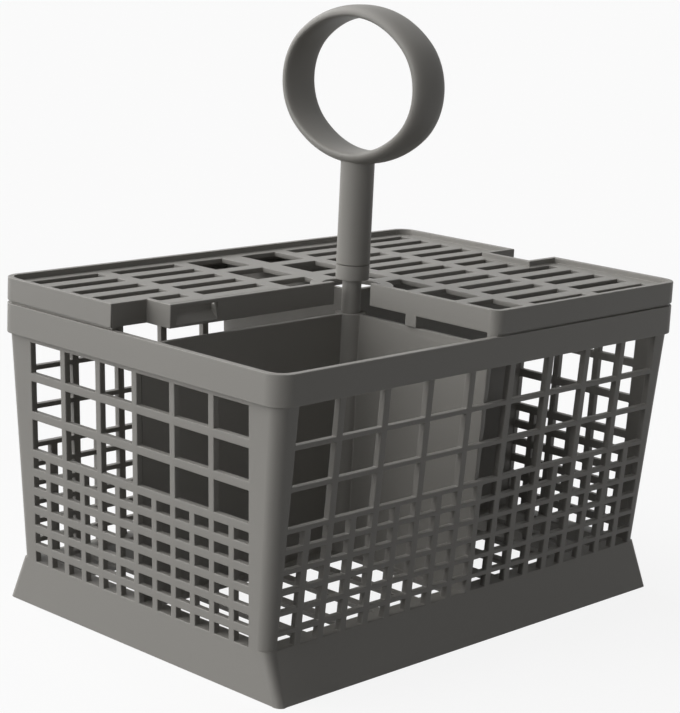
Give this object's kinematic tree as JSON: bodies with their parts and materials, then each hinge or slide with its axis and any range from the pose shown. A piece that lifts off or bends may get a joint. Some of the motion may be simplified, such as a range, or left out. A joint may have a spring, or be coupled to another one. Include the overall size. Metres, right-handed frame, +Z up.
{
  "type": "dishwasher cutlery basket",
  "caption": "Lattice cutlery basket on a flared plinth, with crossing dividers, an L-shaped slotted lid that leaves a corner compartment open, and an oval ring handle on a centre post.",
  "frame": {"origin": "on the ground, under the centre post, at the middle of the plinth", "axes": "+Z up along the post, +X along the long sides, +Y from the open compartment's side to the covered side"},
  "size_m": [0.24, 0.162, 0.2488],
  "materials": {
    "basket_plastic": "satin moulded polypropylene, warm grey",
    "lid_plastic": "satin moulded polypropylene, warm grey",
    "handle_plastic": "satin moulded polypropylene, warm grey"
  },
  "bodies": {
    "root": {"basket": "basket_plastic", "lid": "lid_plastic", "handle": "handle_plastic"}
  },
  "joints": []
}
